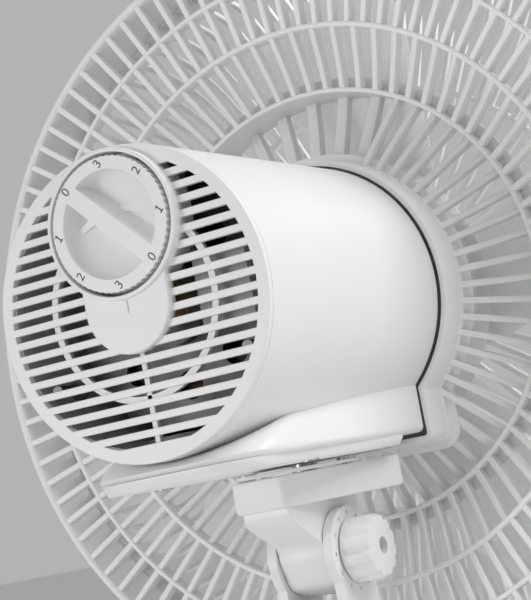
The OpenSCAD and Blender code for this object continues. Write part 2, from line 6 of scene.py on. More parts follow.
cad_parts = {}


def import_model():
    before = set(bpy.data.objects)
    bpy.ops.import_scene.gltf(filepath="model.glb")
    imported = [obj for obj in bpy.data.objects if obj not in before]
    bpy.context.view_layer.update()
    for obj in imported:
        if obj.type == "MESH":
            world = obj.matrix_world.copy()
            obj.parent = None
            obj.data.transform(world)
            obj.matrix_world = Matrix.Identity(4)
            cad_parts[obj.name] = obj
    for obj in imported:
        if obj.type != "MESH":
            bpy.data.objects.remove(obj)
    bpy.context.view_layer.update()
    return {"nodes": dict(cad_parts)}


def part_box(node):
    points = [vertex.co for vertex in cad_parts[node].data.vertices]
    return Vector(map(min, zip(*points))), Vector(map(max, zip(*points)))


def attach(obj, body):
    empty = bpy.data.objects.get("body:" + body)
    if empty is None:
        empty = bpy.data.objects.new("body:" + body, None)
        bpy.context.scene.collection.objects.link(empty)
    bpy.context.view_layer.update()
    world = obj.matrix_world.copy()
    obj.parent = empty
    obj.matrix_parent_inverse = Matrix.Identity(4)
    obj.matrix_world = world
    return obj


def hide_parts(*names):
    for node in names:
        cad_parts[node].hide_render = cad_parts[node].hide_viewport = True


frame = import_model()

# ---- sizes: millimetres in the head's frame, y from the vent face and z from the motor axis ----

MM = 0.001
TAU = 2 * math.pi

TONGUE_PROUD = 2.0
BOSS_PROUD = 3.4
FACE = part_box("rear_vent")[0][1] + BOSS_PROUD * MM
AXIS = (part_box("shaft")[0][2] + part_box("shaft")[1][2]) / 2

HOUSING_R = 52.5
HOUSING_FRONT_R = 54.0
HOUSING_L = 127.0
WALL = 2.2
VENT_T = 2.4

SLOT_FIELD_R = 48.2
SLOT_PITCH = 4.76
SLOT_H = 2.31
FIRST_SLOT = -44.96
SLOT_ROWS = 20
TONGUE_R = 16.5
BOSS_R = 25.2
BOSS_IN_R = 23.8
BOSS_DEPTH = 8.0
DIAL_UP = 26.7
DIAL_R = 22.7
DIAL_PROUD = 3.9
SCOOP_R = 18.0
BAR_HALF = 3.2
BAR_TURN = math.radians(45)
FIGURES_R = 20.3
SERRATIONS = 60

BLOCK_BOTTOM = -57.0
PLATE_BOTTOM = -60.5
PLATE_FRONT = 112.0

COLLAR_IN_R = 54.9
COLLAR_LAND = 2.1
COLLAR_FLANGE = 6.2
COLLAR_BACK = 127.6
COLLAR_END = 146.0
KEYHOLE_HALF = 37.5
KEYHOLE_BOTTOM = -58.6
NOZZLE_R = 17.1
STEP_R = 88.5
STEP_BACK = 147.0
STEP_FRONT = 169.0
MIDDLE_R = 113.3
MIDDLE_BACK = 135.0
RING2_R = 134.5
RING2_BACK = 131.5
GUARD_R = 155.5
RIM_BACK = 128.0
RIM_FRONT = 158.0
INNER_RIBS = 60
RIB_TURN = math.radians(1.6)
GRIP_START = -37.0
GRIP_END = 24.0
GRIP_BARS = 6
GRIP_FIRST = -30.7
GRIP_STEP = 10.0
GRIP_T = 5.2
MIDDLE_RIBS = 75
OUTER_RIBS = 100
RIB_T = 2.4
RIB_DEPTH = 5.5
FRONT_RIB_T = 2.1
FRONT_RIB_DEPTH = 3.6

HUB_R = 32.0
HUB_BACK = 169.0
HUB_FRONT = 197.0
WING_MID = 184.0
WING_TIP_R = 136.5
WINGS = 5

SWING_Y = 96.0
TILT_DOWN = 95.0
TRAY_TOP = -63.6
TRAY_BOTTOM = -75.0
GEAR_Y = 36.0
CRANK_R = 11.3
CRANK_TURN = math.radians(-6.2)
LINK_TOP = -62.0
LINK_BOTTOM = -63.2
LINK_HALF = 4.0
ANCHOR_X = 18.0


def at(x, y, z):
    """A point of the head, in metres."""
    return Vector((x * MM, FACE + y * MM, AXIS + z * MM))


def polar(radius, turn, y):
    """A point of the head at a clock angle from the top, clockwise as seen from behind."""
    return at(radius * math.sin(turn), y, radius * math.cos(turn))


def standing(x, y, z):
    """A point of the stand, in millimetres from the table."""
    return Vector((x * MM, y * MM, z * MM))


# ---- mesh helpers ----

def ramp(value, low, high):
    """0 below low, 1 above high, and a smooth rise between them."""
    t = min(max((value - low) / (high - low), 0.0), 1.0)
    return t * t * (3 - 2 * t)


def mix(a, b, t):
    return a + (b - a) * t


def curve_through(points, steps):
    """A smooth line through the points, with steps pieces between each two."""
    out = []
    last = len(points) - 1
    for i in range(last):
        p0, p1, p2, p3 = points[max(i - 1, 0)], points[i], points[i + 1], points[min(i + 2, last)]
        for k in range(steps):
            t = k / steps
            out.append(tuple(
                0.5 * (2 * b + (c - a) * t + (2 * a - 5 * b + 4 * c - d) * t * t
                       + (3 * b - 3 * c + d - a) * t * t * t)
                for a, b, c, d in zip(p0, p1, p2, p3)
            ))
    out.append(tuple(points[-1]))
    return out


def rounded(corners, steps=4):
    """A closed outline from (a, b, radius) corners, each corner turned into an arc."""
    out = []
    count = len(corners)
    for i, (a, b, radius) in enumerate(corners):
        here = Vector((a, b))
        back = Vector(corners[i - 1][:2]) - here
        on = Vector(corners[(i + 1) % count][:2]) - here
        angle = back.angle(on) if back.length and on.length else math.pi
        if radius <= 0 or angle > 3.1:
            out.append((a, b))
            continue
        reach = min(radius / math.tan(angle / 2), 0.49 * back.length, 0.49 * on.length)
        start, end = here + back.normalized() * reach, here + on.normalized() * reach
        for k in range(steps + 1):
            t = k / steps
            p = start * (1 - t) ** 2 + here * 2 * t * (1 - t) + end * t * t
            out.append((p.x, p.y))
    return out


def piece(name, verts, faces, material, body, stands_for=(), finish="white_plastic", crease=38):
    """One mesh piece that rides on a body, smooth except across creases."""
    mesh = bpy.data.meshes.new(name)
    mesh.from_pydata([tuple(v) for v in verts], [], faces)
    mesh.validate()
    mesh.polygons.foreach_set("use_smooth", [True] * len(mesh.polygons))
    mesh.set_sharp_from_angle(angle=math.radians(crease))
    mesh.materials.append(material)
    obj = bpy.data.objects.new(name, mesh)
    bpy.context.scene.collection.objects.link(obj)
    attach(obj, body)
    if stands_for:
        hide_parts(*stands_for)
    return obj


class Shape:
    """Points and faces that grow part by part into one mesh."""

    def __init__(self):
        self.verts = []
        self.faces = []

    def add(self, verts, faces):
        start = len(self.verts)
        self.verts += verts
        self.faces += [tuple(start + i for i in face) for face in faces]

    def loft(self, rings, closed=False, caps=True, around=True):
        """Joins rings of points; closed joins the last to the first, around closes each ring."""
        n, count = len(rings[0]), len(rings)
        faces = []
        for i in range(count if closed else count - 1):
            a, b = i * n, ((i + 1) % count) * n
            for j in range(n if around else n - 1):
                k = (j + 1) % n
                faces.append((a + j, a + k, b + k, b + j))
        if caps and not closed:
            faces.append(tuple(range(n))[::-1])
            faces.append(tuple(range((count - 1) * n, count * n)))
        self.add([v for ring in rings for v in ring], faces)

    def lathe(self, section, steps=96):
        """Turns a closed (radius, y) section about the motor axis."""
        rings = [[polar(r, TAU * i / steps, y) for r, y in section] for i in range(steps)]
        self.loft(rings, closed=True)

    def dome(self, line, steps=96):
        """Turns an open (radius, y) line that starts and ends on the axis."""
        rings = [[polar(r, TAU * i / steps, y) for i in range(steps)] for r, y in line[1:-1]]
        n, count = steps, len(rings)
        faces = []
        for i in range(count - 1):
            for j in range(n):
                k = (j + 1) % n
                faces.append((i * n + j, i * n + k, (i + 1) * n + k, (i + 1) * n + j))
        verts = [v for ring in rings for v in ring]
        verts += [polar(0, 0, line[0][1]), polar(0, 0, line[-1][1])]
        first, last = count * n, count * n + 1
        for j in range(n):
            k = (j + 1) % n
            faces.append((first, k, j))
            faces.append((last, (count - 1) * n + j, (count - 1) * n + k))
        self.add(verts, faces)

    def rib(self, turn, back, front, thick=RIB_T, soft=0.4):
        """A radial rib with rounded edges between two (radius, y) lines."""
        across = Vector((math.cos(turn), 0, -math.sin(turn))) * (thick / 2 * MM)
        rings = []
        for (rb, yb), (rf, yf) in zip(back, front):
            depth = max(math.hypot(rf - rb, yf - yb), 0.01)
            cut = min(soft / depth, 0.45)
            inner = 1 - 2 * soft / thick
            section = [(-1, cut), (-inner - (1 - inner) * 0.3, 0.3 * cut), (-inner, 0), (inner, 0),
                       (inner + (1 - inner) * 0.7, 0.3 * cut), (1, cut), (1, 1 - cut),
                       (inner, 1), (-inner, 1), (-1, 1 - cut)]
            ring = []
            for side, t in section:
                ring.append(polar(mix(rb, rf, t), turn, mix(yb, yf, t)) + across * side)
            rings.append(ring)
        self.loft(rings)

    def out(self, name, material, body, **options):
        return piece(name, self.verts, self.faces, material, body, **options)


def flat_plate(outlines, low, high, edge, place, resolution=2):
    """Vertices and faces of a plate with holes: outlines in (a, b), the first one outside."""
    curve = bpy.data.curves.new("outline", "CURVE")
    curve.dimensions = "2D"
    curve.fill_mode = "BOTH"
    curve.extrude = (high - low) / 2 - edge
    curve.bevel_depth = edge
    curve.bevel_resolution = resolution
    curve.offset = -edge
    for outline in outlines:
        line = curve.splines.new("POLY")
        line.points.add(len(outline) - 1)
        for point, (a, b) in zip(line.points, outline):
            point.co = (a, b, 0, 1)
        line.use_cyclic_u = True
    holder = bpy.data.objects.new("outline", curve)
    bpy.context.scene.collection.objects.link(holder)
    bpy.context.view_layer.update()
    mesh = holder.to_mesh()
    middle = (low + high) / 2
    verts = [place(v.co.x, v.co.y, middle + v.co.z) for v in mesh.vertices]
    faces = [tuple(p.vertices) for p in mesh.polygons]
    holder.to_mesh_clear()
    bpy.data.objects.remove(holder)
    bpy.data.curves.remove(curve)
    return verts, faces


def facing_back(a, b, c):
    """Places a flat outline of x and z at depth y."""
    return at(a, c, b)


def circle(radius, steps=96, cx=0.0, cy=0.0):
    return [(cx + radius * math.sin(TAU * i / steps), cy + radius * math.cos(TAU * i / steps))
            for i in range(steps)]


# ---- materials ----

def new_material(name):
    material = bpy.data.materials.new(name)
    material.use_nodes = True
    tree = material.node_tree
    return material, tree, tree.nodes["Principled BSDF"]


def noise(tree, scale, detail=3.0, stretch=None):
    """A noise texture in object space, stretched along one axis where asked."""
    coordinates = tree.nodes.new("ShaderNodeTexCoord")
    texture = tree.nodes.new("ShaderNodeTexNoise")
    texture.inputs["Scale"].default_value = scale
    texture.inputs["Detail"].default_value = detail
    if stretch:
        mapping = tree.nodes.new("ShaderNodeMapping")
        mapping.inputs["Scale"].default_value = stretch
        tree.links.new(coordinates.outputs["Object"], mapping.inputs["Vector"])
        tree.links.new(mapping.outputs["Vector"], texture.inputs["Vector"])
    else:
        tree.links.new(coordinates.outputs["Object"], texture.inputs["Vector"])
    return texture


def colour_between(tree, shader, texture, dark, light, low=0.35, high=0.65):
    """Runs the base colour from dark to light with a texture."""
    band = tree.nodes.new("ShaderNodeValToRGB")
    band.color_ramp.elements[0].position = low
    band.color_ramp.elements[0].color = (*dark, 1)
    band.color_ramp.elements[1].position = high
    band.color_ramp.elements[1].color = (*light, 1)
    tree.links.new(texture.outputs["Fac"], band.inputs["Fac"])
    tree.links.new(band.outputs["Color"], shader.inputs["Base Color"])


def roughness_between(tree, shader, texture, low, high):
    span = tree.nodes.new("ShaderNodeMapRange")
    span.inputs["To Min"].default_value = low
    span.inputs["To Max"].default_value = high
    tree.links.new(texture.outputs["Fac"], span.inputs["Value"])
    tree.links.new(span.outputs["Result"], shader.inputs["Roughness"])


def bump(tree, shader, texture, strength, depth):
    relief = tree.nodes.new("ShaderNodeBump")
    relief.inputs["Strength"].default_value = strength
    relief.inputs["Distance"].default_value = depth * MM
    tree.links.new(texture.outputs["Fac"], relief.inputs["Height"])
    tree.links.new(relief.outputs["Normal"], shader.inputs["Normal"])


def plastic(name, colour, low=0.30, high=0.40, grain=0.12, drift=0.985, grain_scale=1400):
    """Moulded plastic: slight drift of colour, uneven gloss and a fine spark-eroded grain."""
    material, tree, shader = new_material(name)
    shade = [c * drift for c in colour]
    colour_between(tree, shader, noise(tree, 22, 2), shade, colour)
    roughness_between(tree, shader, noise(tree, 70, 4), low, high)
    bump(tree, shader, noise(tree, grain_scale, 2), grain, 0.05)
    shader.inputs["IOR"].default_value = 1.49
    return material


def metal(name, dark, light, low, high, stretch, scale=300):
    """Metal with a directed grain."""
    material, tree, shader = new_material(name)
    grain = noise(tree, scale, 4, stretch)
    colour_between(tree, shader, grain, dark, light)
    roughness_between(tree, shader, grain, low, high)
    bump(tree, shader, grain, 0.25, 0.03)
    shader.inputs["Metallic"].default_value = 1.0
    return material


def banded(name, dark, light, direction, scale, metallic, rough):
    """Fine parallel bands: laminated iron or wound wire."""
    material, tree, shader = new_material(name)
    coordinates = tree.nodes.new("ShaderNodeTexCoord")
    wave = tree.nodes.new("ShaderNodeTexWave")
    wave.bands_direction = direction
    wave.inputs["Scale"].default_value = scale
    wave.inputs["Distortion"].default_value = 0.6
    tree.links.new(coordinates.outputs["Object"], wave.inputs["Vector"])
    colour_between(tree, shader, wave, dark, light, 0.2, 0.8)
    bump(tree, shader, wave, 0.5, 0.2)
    shader.inputs["Metallic"].default_value = metallic
    shader.inputs["Roughness"].default_value = rough
    return material


WHITE = plastic("white_plastic", (0.86, 0.86, 0.855))
GUARD_WHITE = plastic("guard_plastic", (0.88, 0.88, 0.877), 0.32, 0.44)
BASE_WHITE = plastic("base_plastic", (0.85, 0.85, 0.845), 0.34, 0.44)
BLADE_WHITE = plastic("blade_plastic", (0.87, 0.88, 0.88), 0.22, 0.32, 0.05)
blade_shader = BLADE_WHITE.node_tree.nodes["Principled BSDF"]
blade_shader.inputs["Subsurface Weight"].default_value = 0.6
blade_shader.inputs["Subsurface Radius"].default_value = (1.0, 1.0, 1.0)
blade_shader.inputs["Subsurface Scale"].default_value = 0.006
INNER = plastic("inner_plastic", (0.50, 0.50, 0.49), 0.45, 0.6, 0.2, 0.93)
INK = plastic("dial_ink", (0.10, 0.10, 0.10), 0.5, 0.62, 0.1, 0.8)
STEEL = metal("zinc_steel", (0.46, 0.46, 0.48), (0.66, 0.66, 0.67), 0.28, 0.42, (1, 6, 1))
SHAFT_STEEL = metal("shaft_steel", (0.50, 0.50, 0.52), (0.70, 0.70, 0.71), 0.18, 0.3, (1, 1, 12))
IRON = banded("laminated_iron", (0.05, 0.05, 0.055), (0.16, 0.16, 0.17), "Y", 320, 0.8, 0.5)
CAST = metal("die_cast", (0.20, 0.20, 0.21), (0.34, 0.34, 0.35), 0.45, 0.6, (1, 1, 1), 120)
COPPER = banded("copper_wire", (0.05, 0.028, 0.02), (0.13, 0.075, 0.05), "Y", 420, 0.7, 0.45)
BRONZE = metal("sinter_bronze", (0.42, 0.29, 0.13), (0.60, 0.44, 0.22), 0.4, 0.55, (1, 1, 1), 500)
BALLAST = plastic("ballast_iron", (0.06, 0.06, 0.06), 0.55, 0.75, 0.6, 0.7, 260)
RUBBER = plastic("foot_rubber", (0.16, 0.16, 0.16), 0.6, 0.75, 0.4, 0.85, 500)

CARRIED = {
    "base_bottom": BASE_WHITE, "base_weight": BALLAST, "base_feet": RUBBER, "base_screws": STEEL,
    "cord_grommet": RUBBER, "column": BASE_WHITE, "tilt_bolt": STEEL, "swing_pin": SHAFT_STEEL,
    "swing_clip": STEEL, "link_anchor": STEEL, "vent_screws": CAST, "motor_base_screws": STEEL,
    "rear_shield": CAST, "front_shield": CAST, "shield_screws": STEEL, "stator_core": IRON,
    "stator_coils": COPPER, "rear_bushing": BRONZE, "front_bushing": BRONZE,
    "speed_switch": INNER, "switch_nut": STEEL, "capacitor": INNER, "osc_motor": INNER,
    "dial_spindle": INNER, "shaft": SHAFT_STEEL, "rotor_core": IRON, "blade_pin": STEEL,
}
for node_name, node_material in CARRIED.items():
    node_object = frame["nodes"][node_name]
    node_object.data.materials.clear()
    node_object.data.materials.append(node_material)


# ---- rear vent ----

def blocked_half(z):
    """Half width that the dial's boss and the tongue leave closed at a height."""
    half = 0.0
    if abs(z - DIAL_UP) < BOSS_R:
        half = math.sqrt(BOSS_R ** 2 - (z - DIAL_UP) ** 2)
    if 0 <= z <= DIAL_UP:
        half = max(half, TONGUE_R)
    elif -TONGUE_R < z < 0:
        half = max(half, math.sqrt(TONGUE_R ** 2 - z * z))
    return half


def slot_outlines():
    """Outlines of every vent slot, cut short by the round field, the boss and the tongue."""
    outlines = []
    samples = 6
    for row in range(SLOT_ROWS):
        low = FIRST_SLOT + row * SLOT_PITCH - SLOT_H / 2
        heights = [low + SLOT_H * k / samples for k in range(samples + 1)]
        ends = [math.sqrt(max(SLOT_FIELD_R ** 2 - z * z, 0)) for z in heights]
        stops = [blocked_half(z) for z in heights]
        if max(stops) == 0:
            right = list(zip(ends, heights))
            outlines.append(right + [(-x, z) for x, z in reversed(right)])
        elif min(stops) == 0:
            right = list(zip(ends, heights))
            tip = [(s, z) for s, z in zip(stops, heights) if s > 0]
            notch = list(reversed(tip)) + [(0, -TONGUE_R)] + [(-s, z) for s, z in tip]
            outlines.append(right + notch + [(-x, z) for x, z in reversed(right)])
        elif min(e - s for e, s in zip(ends, stops)) > 0.6:
            right = list(zip(ends, heights)) + [(s, z) for s, z in reversed(list(zip(stops, heights)))]
            outlines.append(right)
            outlines.append([(-x, z) for x, z in reversed(right)])
    return outlines


def build_vent():
    vent = Shape()
    hole = circle(BOSS_IN_R, 96, 0, DIAL_UP)
    vent.add(*flat_plate([circle(HOUSING_R, 160), hole] + slot_outlines(), 0, VENT_T, 0.32, facing_back))
    # boss ring and the cup behind it that the dial sits in
    cup = rounded([(BOSS_IN_R, -BOSS_PROUD, 0.3), (BOSS_R, -BOSS_PROUD, 0.4), (BOSS_R, BOSS_DEPTH, 0),
                   (3.6, BOSS_DEPTH, 0), (3.6, BOSS_DEPTH - 1.8, 0), (BOSS_IN_R, BOSS_DEPTH - 1.8, 0)])
    start = len(vent.verts)
    vent.lathe(cup, 120)
    lift = Vector((0, 0, DIAL_UP * MM))
    vent.verts[start:] = [v + lift for v in vent.verts[start:]]
    # tongue under the boss
    lower = [(TONGUE_R * math.cos(TAU * k / 64), TONGUE_R * math.sin(TAU * k / 64)) for k in range(32, 65)]
    reach = math.asin(TONGUE_R / (BOSS_R - 0.4))
    upper = [((BOSS_R - 0.4) * math.sin(a), DIAL_UP - (BOSS_R - 0.4) * math.cos(a))
             for a in [reach * (1 - k / 8) for k in range(17)]]
    vent.add(*flat_plate([lower + upper], -TONGUE_PROUD, 0.4, 0.45, facing_back))
    # index mark
    mark = rounded([(-0.65, -3.1, 0.6), (0.65, -3.1, 0.6), (0.65, 1.1, 0.6), (-0.65, 1.1, 0.6)])
    vent.add(*flat_plate([mark], -TONGUE_PROUD - 0.55, -TONGUE_PROUD + 0.2, 0.25, facing_back))
    # stiffening ring and rib behind the slats
    vent.lathe(rounded([(30.5, 1.9, 0), (32.8, 1.9, 0), (32.8, 4.3, 0.4), (30.5, 4.3, 0.4)]), 120)
    rib = rounded([(-1, -48.6, 0), (1, -48.6, 0), (1, -0.5, 0), (-1, -0.5, 0)])
    vent.add(*flat_plate([rib], 1.9, 4.2, 0.2, facing_back))
    # skirt that slides into the housing
    vent.lathe(rounded([(47.9, 2.0, 0), (49.8, 2.0, 0), (49.8, 9.3, 0.4), (47.9, 9.3, 0.4)]), 160)
    return vent.out("rear_vent_cover", WHITE, "head", stands_for=("rear_vent",))


# ---- dial ----

def to_dial(along, across, y):
    """A point on the dial: along its bar, from upper left to lower right, and across it."""
    x = along * math.cos(BAR_TURN) + across * math.sin(BAR_TURN)
    z = -along * math.sin(BAR_TURN) + across * math.cos(BAR_TURN)
    return at(x, y, DIAL_UP + z)


def build_dial():
    dial = Shape()
    lip = 0.25
    reach = math.sqrt((SCOOP_R + lip) ** 2 - (BAR_HALF - lip) ** 2)
    columns = 56
    # stations crowd towards the scoop's ends, where its outline turns quickly
    along = [-reach * math.cos(math.pi * i / columns) for i in range(columns + 1)]

    def arc_offset(x):
        return math.sqrt(max((SCOOP_R + lip) ** 2 - x * x, (BAR_HALF - lip) ** 2))

    # flat front with its two scoop openings
    openings = []
    for side in (1, -1):
        chord = [(x, side * (BAR_HALF - lip)) for x in along]
        arc = [(x, side * arc_offset(x)) for x in reversed(along[1:-1])]
        openings.append(chord + arc)
    curve = bpy.data.curves.new("front", "CURVE")
    curve.dimensions = "2D"
    curve.fill_mode = "FRONT"
    for outline in [circle(DIAL_R - 0.5, 4 * SERRATIONS)] + openings:
        line = curve.splines.new("POLY")
        line.points.add(len(outline) - 1)
        for point, (a, b) in zip(line.points, outline):
            point.co = (a, b, 0, 1)
        line.use_cyclic_u = True
    holder = bpy.data.objects.new("front", curve)
    bpy.context.scene.collection.objects.link(holder)
    bpy.context.view_layer.update()
    mesh = holder.to_mesh()
    dial.add([to_dial(v.co.x, v.co.y, -DIAL_PROUD) for v in mesh.vertices],
             [tuple(p.vertices) for p in mesh.polygons])
    holder.to_mesh_clear()
    bpy.data.objects.remove(holder)
    bpy.data.curves.remove(curve)
    # scoops: a steep wall along the bar, then a floor that rises to the round edge
    rows = 26
    for side in (1, -1):
        rings = []
        for x in along:
            near, far_edge = BAR_HALF - lip, arc_offset(x)
            width = far_edge - near
            place = (x + reach) / (2 * reach)
            deepest = mix(8.0, 5.2, place)
            wall = mix(0.8, 4.6, place) if side > 0 else mix(0.8, 2.4, place)
            ring = []
            for k in range(rows + 1):
                t = (1 - math.cos(math.pi * k / rows)) / 2
                gap = t * width
                from_bar = 0.7 * min(gap / wall, 1.0) + 0.3 * ramp(gap, 0, wall)
                rim = min((width - gap) / max(0.9 * width, 1.2), 1.0)
                ends = min((reach - abs(x)) / 4.5, 1.0)
                bowl = math.sqrt(max(1 - (1 - rim) ** 2, 0)) * math.sqrt(max(1 - (1 - ends) ** 2, 0))
                depth = deepest * from_bar * bowl
                ring.append(to_dial(x, side * (near + gap), -DIAL_PROUD + depth))
            rings.append(ring if side > 0 else ring[::-1])
        dial.loft(rings, caps=False, around=False)
    # rounded front edge, serrated side and plain back
    steps = 4 * SERRATIONS

    def side_ring(radius, y, notch):
        ring = []
        for i in range(steps):
            cut = notch if i % 4 in (0, 1) else 0.0
            a = TAU * i / steps
            ring.append(at((radius - cut) * math.sin(a), y, DIAL_UP + (radius - cut) * math.cos(a)))
        return ring

    rings = [side_ring(DIAL_R - 0.5, -DIAL_PROUD, 0), side_ring(DIAL_R - 0.15, -DIAL_PROUD + 0.12, 0.15),
             side_ring(DIAL_R, -DIAL_PROUD + 0.5, 0.5), side_ring(DIAL_R, 1.5, 0.5),
             side_ring(DIAL_R - 0.6, 1.6, 0), side_ring(DIAL_R - 0.6, 4.6, 0)]
    dial.loft(rings, caps=False)
    back = len(dial.verts) - steps
    dial.faces.append(tuple(range(back, back + steps)))
    return dial.out("speed_dial", WHITE, "speed_dial", stands_for=("dial",), crease=18)


def build_numbers():
    """Switch positions printed round the dial, all upright along the bar."""
    numbers = Shape()
    turn = -BAR_TURN
    for place, figure in enumerate("03210321"):
        text = bpy.data.curves.new("figure", "FONT")
        text.body = figure
        text.size = 4.7
        text.align_x = "CENTER"
        text.align_y = "CENTER"
        text.extrude = 0.03
        holder = bpy.data.objects.new("figure", text)
        bpy.context.scene.collection.objects.link(holder)
        bpy.context.view_layer.update()
        mesh = holder.to_mesh()
        seat = turn + TAU * place / 8
        cx, cz = FIGURES_R * math.sin(seat), FIGURES_R * math.cos(seat)

        def on_dial(a, b, c):
            x = a * math.cos(turn) + b * math.sin(turn)
            z = -a * math.sin(turn) + b * math.cos(turn)
            return at(cx + x, -DIAL_PROUD - 0.02 - c, DIAL_UP + cz + z)

        numbers.add([on_dial(*v.co) for v in mesh.vertices], [tuple(p.vertices) for p in mesh.polygons])
        if figure == "1":
            # foot and flag of the figure one
            reach, stroke_t = 0.6, 0.36
            left, right = min(v.co.x for v in mesh.vertices), max(v.co.x for v in mesh.vertices)
            low, top = min(v.co.y for v in mesh.vertices), max(v.co.y for v in mesh.vertices)
            foot = [(left - reach, low), (right + reach, low),
                    (right + reach, low + stroke_t), (left - reach, low + stroke_t)]
            flag = [(left - reach, top - 0.9), (right, top - stroke_t),
                    (right, top), (left - reach, top - 0.9 + stroke_t)]
            for stroke in (foot, flag):
                numbers.loft([[on_dial(a, b, c) for a, b in stroke] for c in (-0.03, 0.03)])
        holder.to_mesh_clear()
        bpy.data.objects.remove(holder)
        bpy.data.curves.remove(text)
    return numbers.out("dial_numbers", INK, "speed_dial")


# ---- housing ----

def shell_radius(y):
    return mix(HOUSING_R, HOUSING_FRONT_R, min(max(y / HOUSING_L, 0), 1))


def build_housing():
    shell = Shape()
    shell.lathe(rounded([
        (HOUSING_R, VENT_T + 0.15, 0.35), (HOUSING_FRONT_R, HOUSING_L, 0.6),
        (HOUSING_FRONT_R - WALL, HOUSING_L, 0.3), (HOUSING_R - WALL, VENT_T + 0.15, 0.2),
    ]), 192)
    # the block grows out of the shell: its upper edge follows the round shell, its lower edge the plate
    upper = [(0, 27.0), (10, 28.5), (18.4, 29.4), (24.5, 31.8), (28.6, 38.0), (30.8, 54.0), (34.0, 81.0),
             (36.4, 112.0), (37.1, HOUSING_L)]
    lower = [(0, 2.6), (10, 2.8), (20, 4.0), (28.5, 7.5), (34.5, 16.0), (36.5, 34.0), (36.8, 66.0),
             (36.8, 100.0), (36.8, HOUSING_L)]
    upper = curve_through(upper, 5)
    lower = curve_through(lower, 5)
    rows = 12
    rings = []
    for (xu, yu), (xl, yl) in zip(upper, lower):
        radius = shell_radius(yu) - 0.2
        zu = -math.sqrt(radius ** 2 - xu * xu)
        start = Vector((xu, yu, zu))
        end = Vector((xl, yl, BLOCK_BOTTOM + 2.2))
        # tangent to the shell where the block fades out at the rear, square to it further forward
        fade = 1 - ramp(yu, 30, 60)
        lead = (end - start).length * 0.45 * fade
        out_dir = Vector((xu * 0.6, yu - 60, 0)).normalized()
        ring = []
        for k in range(rows + 1):
            t = k / rows
            straight = start.lerp(end, t)
            bow = out_dir * lead * t * (1 - t) * 1.1 - Vector((0, 0, 1)) * (-lead) * t * (1 - t) * 0.5
            ring.append(straight + bow)
        # rounded lower edge
        inward = Vector((xl, yl - 60, 0)).normalized() if yl < 34 else Vector((1, 0, 0))
        for k in range(1, 6):
            a = math.radians(90 * k / 5)
            ring.append(end + inward * (-2.4 * (1 - math.cos(a))) + Vector((0, 0, -2.2 * math.sin(a))))
        ring.append(Vector((min(xl, 30) * 0.9, max(yl, 8), BLOCK_BOTTOM)))
        rings.append([at(p.x, p.y, p.z) for p in ring])
    mirrored = [[Vector((-p.x, p.y, p.z)) for p in ring] for ring in rings[1:]]
    shell.loft([*mirrored[::-1], *rings], caps=True, around=False)
    return shell.out("motor_housing", WHITE, "head", stands_for=("housing",), crease=30)


def build_plate():
    plate = Shape()
    outline = rounded([(-33, 2.2, 20), (33, 2.2, 20), (35.6, PLATE_FRONT, 3), (-35.6, PLATE_FRONT, 3)], 10)
    inner = [(x * 0.972, mix(y, 57, 0.02)) for x, y in outline]
    rings = []
    for shape, z in ((outline, BLOCK_BOTTOM + 0.3), (outline, -57.9), (inner, PLATE_BOTTOM + 0.5),
                     ([(x * 0.96, mix(y, 57, 0.03)) for x, y in outline], PLATE_BOTTOM)):
        rings.append([at(x, y, z) for x, y in shape])
    plate.loft(rings)
    return plate.out("motor_base_plate", WHITE, "head", stands_for=("motor_base",), crease=50)


# ---- rear guard ----

def keyhole(grow, steps=72):
    """Outline round the housing and its block, with the same number of points at any growth."""
    radius, half, bottom = COLLAR_IN_R + grow, KEYHOLE_HALF + grow, KEYHOLE_BOTTOM - grow
    corner = 1.2 + grow
    start = math.pi - math.asin(half / radius)
    out = [(radius * math.sin(start * (1 - 2 * k / steps)), radius * math.cos(start * (1 - 2 * k / steps)))
           for k in range(steps + 1)]
    for side in (-1, 1):
        arc = [(half - corner + corner * math.cos(a), bottom + corner - corner * math.sin(a))
               for a in [math.radians(15 * k) for k in range(7)]]
        if side < 0:
            out += [(-x, z) for x, z in arc]
        else:
            out += arc[::-1]
    return out


